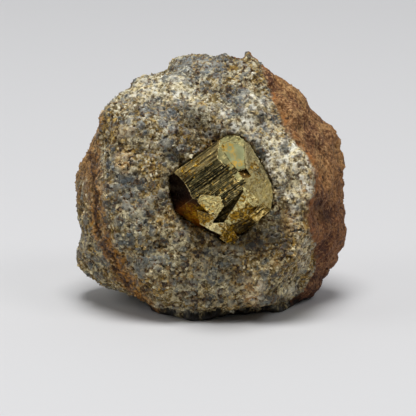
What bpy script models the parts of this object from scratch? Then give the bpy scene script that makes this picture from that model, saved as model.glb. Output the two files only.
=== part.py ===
# A pyrite crystal half sunk in a rough lump of granular rock, standing on its own worn base.
# Metres, +Z up, the broken face with the crystal towards -Y. The origin is the middle of the box, at the base.
# Both pieces are worked out in millimetres in a leaning frame: X right, Y into the rock, Z up the broken face.

import math

import bmesh
import bpy
import numpy as np
from mathutils import Matrix, Vector, noise

MM = 0.001
LEAN = math.radians(14)  # the broken face is seen square-on from this far above level
ROCK_CENTRE_HEIGHT = 24.0  # of the outline's middle, above the base
FIT_GAP = 0.3  # between the crystal and its socket

# The rock's edge seen from the front, clockwise from the spur at its top, right and up from its middle
OUTLINE = [
    (7.4, 27.6), (10.0, 24.7), (12.7, 22.7), (15.4, 21.8), (17.8, 19.6), (20.1, 16.9), (23.2, 13.8),
    (25.6, 11.6), (26.8, 9.4), (26.5, 7.1), (27.4, 6.0), (27.6, 2.5), (27.1, -1.4), (27.6, -9.2),
    (26.5, -13.5), (24.8, -16.6), (23.2, -19.4), (20.6, -23.4), (18.0, -25.6), (14.6, -26.6),
    (12.3, -25.6), (8.4, -26.0), (4.5, -27.2), (0.6, -28.0), (-3.3, -28.0), (-7.2, -27.4), (-10.3, -25.9),
    (-13.4, -23.6), (-16.1, -22.1), (-19.6, -20.9), (-22.8, -19.8), (-25.9, -17.6), (-27.6, -15.2),
    (-27.4, -12.0), (-26.5, -9.6), (-27.1, -3.8), (-27.5, 0.5), (-27.2, 2.8), (-24.5, 7.5), (-23.3, 11.4),
    (-22.5, 14.3), (-20.8, 16.1), (-16.0, 19.8), (-15.4, 21.3), (-13.4, 22.7), (-8.3, 23.8), (-7.7, 25.8),
    (-6.4, 26.8), (0.6, 26.3), (2.6, 27.0), (5.9, 26.2), (6.1, 27.3),
]
DEPTH_TO_FRONT = 20.0  # of the round body behind the broken faces
DEPTH_TO_BACK = 21.0
BODY_ROUNDNESS = 2.8  # 2 is an ellipsoid, more is squarer
EDGE_SHARPNESS = 34.0  # how crisply two broken faces meet

# Faces where the rock has broken: outward direction, and distance from its middle
BROKEN_FACES = {
    "front": ((-0.04, -1.00, 0.05), 14.4),
    "upper front": ((-0.12, -0.72, 0.70), 19.0),
    "upper right": ((0.30, -0.78, 0.52), 19.4),
    "right rind": ((0.90, -0.42, 0.06), 24.2),
    "upper rind": ((0.76, -0.42, 0.46), 23.2),
    "lower rind": ((0.78, -0.36, -0.48), 25.4),
    "left side": ((-0.88, -0.46, 0.06), 24.0),
    "lower left": ((-0.66, -0.58, -0.44), 24.4),
    "lower front": ((0.02, -0.88, -0.46), 21.6),
    "under the front": ((0.0, -0.42, -0.90), 28.2),
    "back": ((0.12, 1.00, 0.08), 18.6),
    "back right": ((0.62, 0.74, 0.12), 22.4),
    "back left": ((-0.66, 0.72, 0.16), 22.0),
    "back top": ((-0.10, 0.62, 0.78), 22.6),
    "back foot": ((0.10, 0.80, -0.60), 23.0),
}

# Hollows and lumps: middle, radius, and height (below nought for a hollow)
RELIEF = [
    ((-2.4, -14.0, 11.2), 4.2, -1.5),  # the shaded hollow above the crystal
    ((-9.5, -9.0, 20.0), 4.5, 0.9),  # the pale ledge at the upper left, and the hollow under it
    ((-8.0, -12.5, 12.8), 4.2, -1.3),
    ((-3.0, -2.0, 26.3), 3.2, 0.6),  # the block at the top, and the step beside it
    ((-9.2, 0.0, 24.0), 1.6, -0.9),
    ((-17.0, -13.5, 4.6), 3.0, 0.9),
    ((-14.5, -14.0, -8.0), 5.0, 0.7),
    ((16.0, -13.0, 4.5), 4.0, 0.9),
    ((14.0, -14.0, -12.5), 4.5, 0.8),
    ((2.0, -14.0, -19.0), 5.0, 0.6),
    ((13.5, -12.5, -6.5), 4.0, -0.8),
    ((23.5, -8.0, -6.0), 3.0, -2.4),  # the dark hollow in the rind
    ((26.4, -3.0, 7.1), 1.4, -1.3),  # the nick in the right edge
    ((26.2, -3.0, 10.0), 1.8, 0.5),
    ((21.0, -9.0, 14.0), 3.6, 0.8),
    ((-24.5, -7.0, -12.0), 3.4, 1.2),
    ((10.5, -7.0, -25.0), 3.0, -1.4),  # the arch under the front
    ((8.0, 17.0, 6.0), 7.0, -1.6),
    ((-12.0, 15.0, -4.0), 6.0, 1.2),
    ((4.0, 6.0, 24.0), 5.0, -1.0),
]
SEAM = [(-23.2, -9.0, 9.0), (-22.6, -11.5, 2.0), (-22.0, -12.0, -6.0), (-20.0, -12.0, -13.0), (-15.5, -11.5, -20.0)]
SEAM_WIDTH = 1.2
SEAM_DEPTH = 1.1
NOISE_SEED = 11
CHUNK_SIZE = 5.5  # of the angular lumps that the rock breaks into
CHUNK_HEIGHT = 1.5
CHUNK_TILT = 1.3
CHUNK_BEND = 0.9
CHUNK_SLOPE = 0.35  # share of a lump's size over which it meets the next
HEIGHT_SHUFFLE = 7.7  # two factors that draw each lump's height and tilt from the place of its middle
TILT_SHUFFLE = 5.3
LUMP_SIZE = 4.2  # of the rounder lumps laid over them
LUMP_HEIGHT = 0.9
LUMP_NOISE = (0.8, 2.1, 3)  # how rough, how much finer each layer is, and how many layers
RIM_STEADY = 0.75  # share of the lumps that the outline is kept clear of
RIM_DEPTH = 5.0
CLEARING_DEPTH = 1.3  # the rock's face is lower by this round the crystal
CLEARING_RADIUS = 10.1
CLEARING_STEEPNESS = 1.8
SPHERE_SUBDIVISIONS = 6
ROCK_TRIANGLES_KEPT = 0.42

# The crystal. All its shapes are outlines seen from the front (right, up), clockwise, under sloping faces.
# A face has a point on it (right, up, out) and its slopes: how far it comes out for each mm right, and each mm up.
CRYSTAL_PLACE = (2.15, -14.1, -0.55)
CRYSTAL_BURIED = 7.0
CRYSTAL_OUTLINE = [
    (-10.1, 2.5), (-8.4, 3.7), (1.1, 10.5), (3.5, 10.3), (5.7, 8.6), (8.4, 4.1), (9.9, 1.0), (10.3, -1.4),
    (9.8, -3.9), (5.1, -8.8), (2.6, -10.7), (1.4, -10.7), (-4.4, -7.7), (-9.1, -4.7), (-10.1, -1.0),
]
APEX = (3.8, 1.0, 7.7)  # where the four main faces meet
LEFT_CORNER = (-5.5, -2.1, 6.0)
STRIATED_SLOPES = (0.34, -0.475)
BRIGHT_SLOPES = (0.06, -0.73)
FACES = [
    (APEX, STRIATED_SLOPES),
    ((-7.0, 1.0, 4.1), (0.59, -0.80)),  # the lighter band above the striated face
    (APEX, BRIGHT_SLOPES),
    ((4.9, 3.7, 5.8), (-1.15, -0.78)),  # the dull faces at the right
    (APEX, (-0.93, -0.27)),
    (APEX, (-0.19, 0.51)),  # the spotted gold face
    (LEFT_CORNER, (1.53, 0.14)),  # the dark faces at the left
    (LEFT_CORNER, (0.79, 1.25)),
    ((1.5, -7.4, 3.9), (-0.51, 1.16)),
]
# Blocks grown on it: outline, top, and how far out their foot is
GROWTHS = {
    "bright plateau": (
        [(0.4, 8.7), (2.0, 9.3), (4.5, 8.1), (4.6, 3.9), (3.3, 3.5), (1.8, 5.2), (0.7, 7.0)],
        ((3.8, 1.0, 7.9), BRIGHT_SLOPES), 0.6),
    "striated step": (
        [(-0.6, -1.4), (3.6, 0.9), (4.4, -0.2), (0.6, -3.6), (-0.4, -3.2)],
        ((3.8, 1.0, 7.82), STRIATED_SLOPES), 1.3),
    "front block": (
        [(-4.6, -2.8), (-4.0, -1.25), (-0.2, -1.7), (0.5, -3.5), (-2.1, -5.2)],
        ((-2.2, -3.2, 8.35), (0.20, -0.50)), 2.0),
    "front step": (
        [(-4.7, -4.4), (-1.2, -5.3), (1.8, -7.6), (0.3, -9.4), (-4.1, -7.2)],
        ((-1.9, -6.8, 4.5), (0.10, 0.50)), -3.0),
    "right ledge": (
        [(8.3, -2.9), (9.8, -4.1), (7.0, -6.9), (5.5, -5.4)],
        ((7.6, -4.7, 4.5), (-0.50, 0.35)), -3.0),
    "foot ledge": (
        [(1.8, -7.6), (3.5, -9.7), (2.6, -10.9), (1.2, -10.9), (-0.3, -9.8)],
        ((1.6, -9.4, 2.4), (0.00, 0.30)), -3.0),
}
# Notches cut into it: outline and floor
NOTCHES = {
    "front notch": (
        [(-1.75, -6.9), (0.5, -3.7), (4.4, -0.3), (2.7, -4.0), (0.8, -6.8)],
        ((2.7, -4.0, 5.6), (0.70, -0.10))),
    "bright notch": (
        [(3.3, 3.3), (4.9, 3.8), (6.2, 2.1), (4.2, 1.9)],
        ((4.7, 2.8, 5.5), (-0.50, -0.95))),
}
# Ribs along the striated face: how far up its slope from the apex, half width, and where they start and end
RIBS = [
    (-4.2, 0.35, -7.9, 0.3), (-2.8, 0.5, -7.3, 0.9), (-1.25, 0.3, -8.7, -1.0), (0.2, 0.45, -7.4, 1.0),
    (1.2, 0.3, -4.4, -0.5),
]
RIB_HEIGHT = 0.22
CUT_STOCK = 30.0  # half the side of the block that each shape is cut from

BASE_SLAB = 0.2  # metres, the side of the block that cuts the base flat

MATERIALS = {  # colour, roughness and how metallic
    "pyrite": ((0.62, 0.53, 0.30), 0.32, 0.9),
    "granular_rock": ((0.34, 0.30, 0.23), 0.9, 0.0),
}


def unit(vector):
    vector = np.array(vector, float)
    return vector / np.linalg.norm(vector)


def outline_reach(directions):
    """How far the outline lies from the rock's middle, along each direction seen from the front."""
    points = np.array(OUTLINE)
    turn = np.arctan2(points[:, 1], points[:, 0])
    order = np.argsort(turn)
    reach = np.hypot(points[:, 0], points[:, 1])
    seen = np.arctan2(directions[:, 2], directions[:, 0])
    return np.interp(seen, turn[order], reach[order], period=2 * math.pi)


def body_reach(directions):
    """How far the rock goes from its middle: a round body on the outline, cut back by the broken faces."""
    across = np.hypot(directions[:, 0], directions[:, 2]) / outline_reach(directions)
    depth = np.where(directions[:, 1] < 0, DEPTH_TO_FRONT, DEPTH_TO_BACK)
    along = np.abs(directions[:, 1]) / depth
    near = (across**BODY_ROUNDNESS + along**BODY_ROUNDNESS) ** (EDGE_SHARPNESS / BODY_ROUNDNESS)
    for normal, distance in BROKEN_FACES.values():
        near = near + (np.maximum(directions @ unit(normal), 0.0) / distance) ** EDGE_SHARPNESS
    return near ** (-1 / EDGE_SHARPNESS)


def distance_to_seam(point):
    nearest = 1e9
    for a, b in zip(SEAM, SEAM[1:]):
        a, b = Vector(a), Vector(b)
        share = max(0.0, min(1.0, (point - a).dot(b - a) / (b - a).length_squared))
        nearest = min(nearest, (point - a.lerp(b, share)).length)
    return nearest


def cell_height(point, near):
    """One angular lump: its own height and its own tilt, both from the place of its middle."""
    tilt = noise.noise_vector(near * TILT_SHUFFLE)
    away = point / CHUNK_SIZE - near
    return noise.noise(near * HEIGHT_SHUFFLE) + CHUNK_TILT * tilt.dot(away)


def chunk_height(point):
    """Angular lumps side by side, with a short slope where two meet."""
    distances, middles = noise.voronoi(point / CHUNK_SIZE)[:2]
    own = cell_height(point, middles[0])
    other = cell_height(point, middles[1])
    share = min(1.0, (distances[1] - distances[0]) / CHUNK_SLOPE)
    return own + (other - own) * 0.5 * (1 - share)


def raised(point):
    """How far the rock stands out from its plain form at a point."""
    rim = math.exp(-((point.y / RIM_DEPTH) ** 2))
    bent = point + noise.noise_vector(point / LUMP_SIZE) * CHUNK_BEND
    lump = noise.fractal(point / LUMP_SIZE, *LUMP_NOISE)
    height = (CHUNK_HEIGHT * chunk_height(bent) + LUMP_HEIGHT * lump) * (1 - RIM_STEADY * rim)
    for middle, radius, swell in RELIEF:
        height += swell * math.exp(-(((point - Vector(middle)).length / radius) ** 2))
    height -= SEAM_DEPTH * math.exp(-((distance_to_seam(point) / SEAM_WIDTH) ** 2))
    return height - crystal_clearing(point)


def crystal_clearing(point):
    """The rock's face is lower round the crystal, so that the crystal stands out of it on every side."""
    if point.y > 0:
        return 0.0
    away = math.hypot(point.x - CRYSTAL_PLACE[0], point.z - CRYSTAL_PLACE[2])
    return CLEARING_DEPTH / (1 + math.exp((away - CLEARING_RADIUS) * CLEARING_STEEPNESS))


def place_in_world(obj, place):
    """Puts an object that is modelled in the leaning frame where the rock stands."""
    lean = Matrix.Rotation(-LEAN, 4, "X")
    stand = Matrix.Translation((0, 0, ROCK_CENTRE_HEIGHT * MM))
    obj.matrix_world = stand @ lean @ Matrix.Translation(Vector(place) * MM)


def new_object(name, bm, collection):
    mesh = bpy.data.meshes.new(name)
    bm.to_mesh(mesh)
    bm.free()
    obj = bpy.data.objects.new(name, mesh)
    collection.objects.link(obj)
    return obj


def cut_back(bm, point, normal):
    """Cuts a closed mesh by a plane, drops what is outside and closes the cut."""
    geometry = bm.verts[:] + bm.edges[:] + bm.faces[:]
    bmesh.ops.bisect_plane(bm, geom=geometry, plane_co=point, plane_no=normal, clear_outer=True)
    open_edges = [edge for edge in bm.edges if edge.is_boundary]
    bmesh.ops.holes_fill(bm, edges=open_edges)


def face_normal(slopes):
    """The outward direction of a face with these slopes."""
    return Vector((-slopes[0], -1.0, -slopes[1])).normalized()


def from_front(right, up, out):
    return Vector((right, -out, up))


def outline_block(outline, grow):
    """A long bar with this outline, seen from the front. grow moves its sides out."""
    bm = bmesh.new()
    bmesh.ops.create_cube(bm, size=2 * CUT_STOCK * MM)
    for (x0, z0), (x1, z1) in zip(outline, outline[1:] + outline[:1]):
        normal = Vector((z0 - z1, 0, x1 - x0)).normalized()
        cut_back(bm, (Vector((x0, 0, z0)) + normal * grow) * MM, normal)
    return bm


def cut_by_face(bm, face, grow, keep_outside=False):
    """Cuts a block by a sloping face, keeping what is under it, or what is outside it."""
    normal = face_normal(face[1])
    point = (from_front(*face[0]) + normal * grow) * MM
    cut_back(bm, point, -normal if keep_outside else normal)


def crystal_body(name, grow, collection):
    bm = outline_block(CRYSTAL_OUTLINE, grow)
    for face in FACES:
        cut_by_face(bm, face, grow)
    cut_back(bm, from_front(0, 0, -CRYSTAL_BURIED - grow) * MM, Vector((0, 1, 0)))
    body = new_object(name, bm, collection)
    place_in_world(body, CRYSTAL_PLACE)
    return body


def growth_block(name, outline, top, foot, grow, collection):
    bm = outline_block(outline, grow)
    cut_by_face(bm, top, grow)
    cut_back(bm, from_front(0, 0, foot - grow) * MM, Vector((0, 1, 0)))
    block = new_object(name, bm, collection)
    place_in_world(block, CRYSTAL_PLACE)
    return block


def notch_cutter(name, outline, floor, collection):
    bm = outline_block(outline, 0.0)
    cut_by_face(bm, floor, 0.0, keep_outside=True)
    cutter = new_object(name, bm, collection)
    place_in_world(cutter, CRYSTAL_PLACE)
    return cutter


def rib_outline(rise, half_width, start, end):
    """A strip along the striated face, level on its slope."""
    uphill = Vector(STRIATED_SLOPES).normalized()
    along = Vector((-uphill.y, uphill.x))
    middle = Vector(APEX[:2]) + uphill * rise
    corners = [(start, -half_width), (end, -half_width), (end, half_width), (start, half_width)]
    points = [middle + along * far + uphill * across for far, across in corners]
    return [tuple(point) for point in points]


def join(obj, other, operation):
    """A Boolean with another object, which stays hidden as the cutter."""
    other.hide_render = True
    other.display_type = "WIRE"
    boolean = obj.modifiers.new(other.name, "BOOLEAN")
    boolean.operation = operation
    boolean.object = other


def build_crystal(collection, cutters):
    crystal = crystal_body("pyrite_crystal", 0.0, collection)
    for name, (outline, top, foot) in GROWTHS.items():
        join(crystal, growth_block(name, outline, top, foot, 0.0, cutters), "UNION")
    rib_top = (APEX[:2] + (APEX[2] + RIB_HEIGHT,), STRIATED_SLOPES)
    for number, rib in enumerate(RIBS):
        block = growth_block(f"rib {number}", rib_outline(*rib), rib_top, 0.0, 0.0, cutters)
        join(crystal, block, "UNION")
    for name, (outline, floor) in NOTCHES.items():
        join(crystal, notch_cutter(name, outline, floor, cutters), "DIFFERENCE")
    return crystal


def rock_blank(collection):
    """The whole lump, without the socket or the base."""
    bm = bmesh.new()
    bmesh.ops.create_icosphere(bm, subdivisions=SPHERE_SUBDIVISIONS, radius=1.0)
    directions = np.array([vertex.co.normalized() for vertex in bm.verts])
    reach = body_reach(directions)
    for vertex, direction, far in zip(bm.verts, directions, reach):
        plain = Vector(direction) * far
        vertex.co = (plain + Vector(direction) * raised(plain)) * MM
    rock = new_object("matrix_rock", bm, collection)
    rock.data.shade_smooth()
    place_in_world(rock, (0, 0, 0))
    fewer = rock.modifiers.new("fewer faces", "DECIMATE")
    fewer.ratio = ROCK_TRIANGLES_KEPT
    return rock


def base_cutter(collection):
    """A slab whose top is the level that the rock's foot is worn flat to."""
    bm = bmesh.new()
    bmesh.ops.create_cube(bm, size=BASE_SLAB)
    bmesh.ops.translate(bm, vec=(0, 0, -BASE_SLAB / 2), verts=bm.verts)
    return new_object("worn base", bm, collection)


def build_rock(collection, cutters):
    rock = rock_blank(collection)
    join(rock, base_cutter(cutters), "DIFFERENCE")
    join(rock, crystal_body("socket", FIT_GAP, cutters), "DIFFERENCE")
    for name, (outline, top, foot) in GROWTHS.items():
        block = growth_block("socket for the " + name, outline, top, foot, FIT_GAP, cutters)
        join(rock, block, "DIFFERENCE")
    return rock


def give_material(obj, name):
    colour, roughness, metallic = MATERIALS[name]
    material = bpy.data.materials.new(name)
    material.use_nodes = True
    shader = material.node_tree.nodes["Principled BSDF"]
    shader.inputs["Base Color"].default_value = (*colour, 1.0)
    shader.inputs["Roughness"].default_value = roughness
    shader.inputs["Metallic"].default_value = metallic
    obj.data.materials.clear()
    obj.data.materials.append(material)


def stand_on_origin(objects, helpers):
    """Moves everything so that the middle of the pieces' box, at its base, is the origin."""
    bpy.context.view_layer.update()
    graph = bpy.context.evaluated_depsgraph_get()
    corners = []
    for obj in objects:
        shown = obj.evaluated_get(graph)
        corners += [shown.matrix_world @ vertex.co for vertex in shown.data.vertices]
    low = Vector([min(corner[axis] for corner in corners) for axis in range(3)])
    high = Vector([max(corner[axis] for corner in corners) for axis in range(3)])
    shift = Matrix.Translation((-(low.x + high.x) / 2, -(low.y + high.y) / 2, -low.z))
    for obj in [*objects, *helpers]:
        obj.matrix_world = shift @ obj.matrix_world
    print("box", [round((high[i] - low[i]) / MM, 2) for i in range(3)], "moved", shift.to_translation() / MM)


def main():
    for obj in list(bpy.data.objects):
        bpy.data.objects.remove(obj)
    noise.seed_set(NOISE_SEED)
    pieces = bpy.data.collections.new("pyrite_on_matrix")
    cutters = bpy.data.collections.new("cutters")
    for collection in (pieces, cutters):
        bpy.context.scene.collection.children.link(collection)
    crystal = build_crystal(pieces, cutters)
    rock = build_rock(pieces, cutters)
    give_material(crystal, "pyrite")
    give_material(rock, "granular_rock")
    stand_on_origin([crystal, rock], cutters.objects)


main()
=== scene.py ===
import math
import random

import bmesh
import bpy
import numpy as np
from mathutils import Matrix, Vector, noise


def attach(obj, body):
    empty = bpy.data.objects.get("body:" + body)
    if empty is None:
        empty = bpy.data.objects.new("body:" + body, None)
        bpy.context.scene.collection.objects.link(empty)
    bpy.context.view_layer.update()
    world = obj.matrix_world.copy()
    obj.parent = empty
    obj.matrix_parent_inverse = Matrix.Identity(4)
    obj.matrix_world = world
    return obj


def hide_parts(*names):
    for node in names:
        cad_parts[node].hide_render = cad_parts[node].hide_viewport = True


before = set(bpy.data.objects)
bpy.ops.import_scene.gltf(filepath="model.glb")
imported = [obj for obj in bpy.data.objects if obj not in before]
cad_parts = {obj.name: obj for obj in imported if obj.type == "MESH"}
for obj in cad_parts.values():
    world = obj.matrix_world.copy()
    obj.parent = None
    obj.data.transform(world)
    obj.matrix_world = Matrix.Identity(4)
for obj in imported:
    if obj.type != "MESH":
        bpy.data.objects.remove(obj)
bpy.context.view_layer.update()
mm = 0.001
weldDistance = 0.002 * mm  # points of the solids that are nearer than this are one

# The leaning frame that the specimen is laid out in: X right, Y into the rock, Z up the broken face
leaning = {
    "middle": (0.133, 1.692, 24.0),  # mm, the middle of the rock's outline
    "lean": math.radians(14),
    "crystal": (2.15, -14.1, -0.55),  # mm, where the crystal sits on it
}
fromLeaning = (
    Matrix.Translation(Vector(leaning["middle"]) * mm)
    @ Matrix.Rotation(-leaning["lean"], 4, "X")
    @ Matrix.Scale(mm, 4)
)
toCrystal = (fromLeaning @ Matrix.Translation(leaning["crystal"])).inverted()


def srgb(red, green, blue):
    # a colour as seen on screen, 0 to 255, made linear
    def linear(value):
        value = value / 255
        return value / 12.92 if value <= 0.04045 else ((value + 0.055) / 1.055) ** 2.4
    return (linear(red), linear(green), linear(blue), 1.0)


# Short hands for node trees. The same ones build the materials and the Geometry Nodes,
# so a grain that is raised and a grain that is coloured are one grain.
def addNode(tree, kind, inputs=None, **settings):
    node = tree.nodes.new(kind)
    for name, value in settings.items():
        setattr(node, name, value)
    for key, value in (inputs or {}).items():
        plug(tree, node.inputs[key], value)
    return node


def plug(tree, socket, value):
    if isinstance(value, bpy.types.NodeSocket):
        tree.links.new(value, socket)
    else:
        socket.default_value = value


def calc(tree, operation, a, b=0.0, c=0.0, clamp=False):
    node = addNode(tree, "ShaderNodeMath", {0: a, 1: b, 2: c}, operation=operation, use_clamp=clamp)
    return node.outputs[0]


def plus(tree, a, b):
    return calc(tree, "ADD", a, b)


def minus(tree, a, b):
    return calc(tree, "SUBTRACT", a, b)


def times(tree, a, b):
    return calc(tree, "MULTIPLY", a, b)


def timesPlus(tree, a, b, c):
    return calc(tree, "MULTIPLY_ADD", a, b, c)


def share(tree, a, b):
    # a share of a share, kept from 0 to 1
    return calc(tree, "MULTIPLY", a, b, clamp=True)


def apart(tree, a, b):
    return calc(tree, "ABSOLUTE", minus(tree, a, b))


def vectorCalc(tree, operation, a, b=(0, 0, 0), c=(0, 0, 0)):
    node = addNode(tree, "ShaderNodeVectorMath", {0: a, 1: b, 2: c}, operation=operation)
    return node.outputs["Value" if operation == "LENGTH" else "Vector"]


def scaled(tree, vector, size):
    return addNode(tree, "ShaderNodeVectorMath", {0: vector, "Scale": size}, operation="SCALE").outputs[0]


def ramp(tree, value, low, high, toLow=0.0, toHigh=1.0):
    # a smooth step from low to high
    node = addNode(
        tree, "ShaderNodeMapRange",
        {"Value": value, "From Min": low, "From Max": high, "To Min": toLow, "To Max": toHigh},
        interpolation_type="SMOOTHSTEP",
    )
    return node.outputs["Result"]


def blendColour(tree, amount, a, b, how="MIX"):
    node = addNode(tree, "ShaderNodeMix", data_type="RGBA", blend_type=how, clamp_factor=True)
    plug(tree, node.inputs[0], amount)
    plug(tree, node.inputs[6], a)
    plug(tree, node.inputs[7], b)
    return node.outputs[2]


def tint(tree, colour, amount, other, how="MIX"):
    # lays another colour, given as seen on screen, over the first
    return blendColour(tree, amount, colour, srgb(*other), how)


def mottled(tree, colour, value, steps):
    # lays colours over the first as a noise goes from low to high: (low, high, most, colour)
    for low, high, most, other in steps:
        colour = tint(tree, colour, ramp(tree, value, low, high, 0.0, most), other)
    return colour


def attribute(tree, name, output="Fac"):
    return addNode(tree, "ShaderNodeAttribute", attribute_name=name).outputs[output]


def newMaterial(name):
    material = bpy.data.materials.new(name)
    material.use_nodes = True
    return material, material.node_tree, material.node_tree.nodes["Principled BSDF"]


def speckle(tree, place, size, detail=2.0, roughness=0.5, output=0):
    # noise with spots about size mm across
    node = addNode(
        tree, "ShaderNodeTexNoise",
        {"Vector": place, "Scale": 0.7 / size, "Detail": detail, "Roughness": roughness},
        noise_dimensions="3D",
    )
    return node.outputs[output]


def cells(tree, place, size):
    inputs = {"Vector": place, "Scale": 1 / size}
    return addNode(tree, "ShaderNodeTexVoronoi", inputs, voronoi_dimensions="3D")


def toLeaning(tree, place):
    # from object coordinates in metres to mm in the leaning frame
    moved = vectorCalc(tree, "SUBTRACT", place, tuple(Vector(leaning["middle"]) * mm))
    turned = addNode(
        tree, "ShaderNodeVectorRotate", {"Vector": moved, "Angle": leaning["lean"]}, rotation_type="X_AXIS"
    ).outputs[0]
    return vectorCalc(tree, "MULTIPLY", turned, (1 / mm, 1 / mm, 1 / mm))


def splitPlace(tree, place):
    return addNode(tree, "ShaderNodeSeparateXYZ", {0: place}).outputs


def lineAcross(tree, height, points, reach=30.0):
    # how far right a line that runs up the face lies, from (right, up) points in mm
    node = addNode(tree, "ShaderNodeFloatCurve")
    curve = node.mapping.curves[0]
    spots = sorted(((up / reach + 1) / 2, (right / reach + 1) / 2) for right, up in points)
    curve.points[0].location = spots[0]
    curve.points[1].location = spots[-1]
    for spot in spots[1:-1]:
        curve.points.new(*spot)
    node.mapping.update()
    plug(tree, node.inputs["Value"], timesPlus(tree, height, 0.5 / reach, 0.5))
    return timesPlus(tree, node.outputs[0], 2 * reach, -reach)


def patches(tree, place, spots, depth=-12.0, fade=0.07, rim=1.35, middle=0.35):
    # soft oval patches on the face, (right, up, half width, half height, strength), added up:
    # each is whole inside its middle, gone at its rim, and fades slowly away from its depth
    total = None
    for right, up, halfWidth, halfHeight, strength in spots:
        away = vectorCalc(tree, "SUBTRACT", place, (right, depth, up))
        away = vectorCalc(tree, "MULTIPLY", away, (1 / halfWidth, fade, 1 / halfHeight))
        part = ramp(tree, vectorCalc(tree, "LENGTH", away), rim, middle, 0.0, strength)
        total = part if total is None else plus(tree, total, part)
    return total


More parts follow.
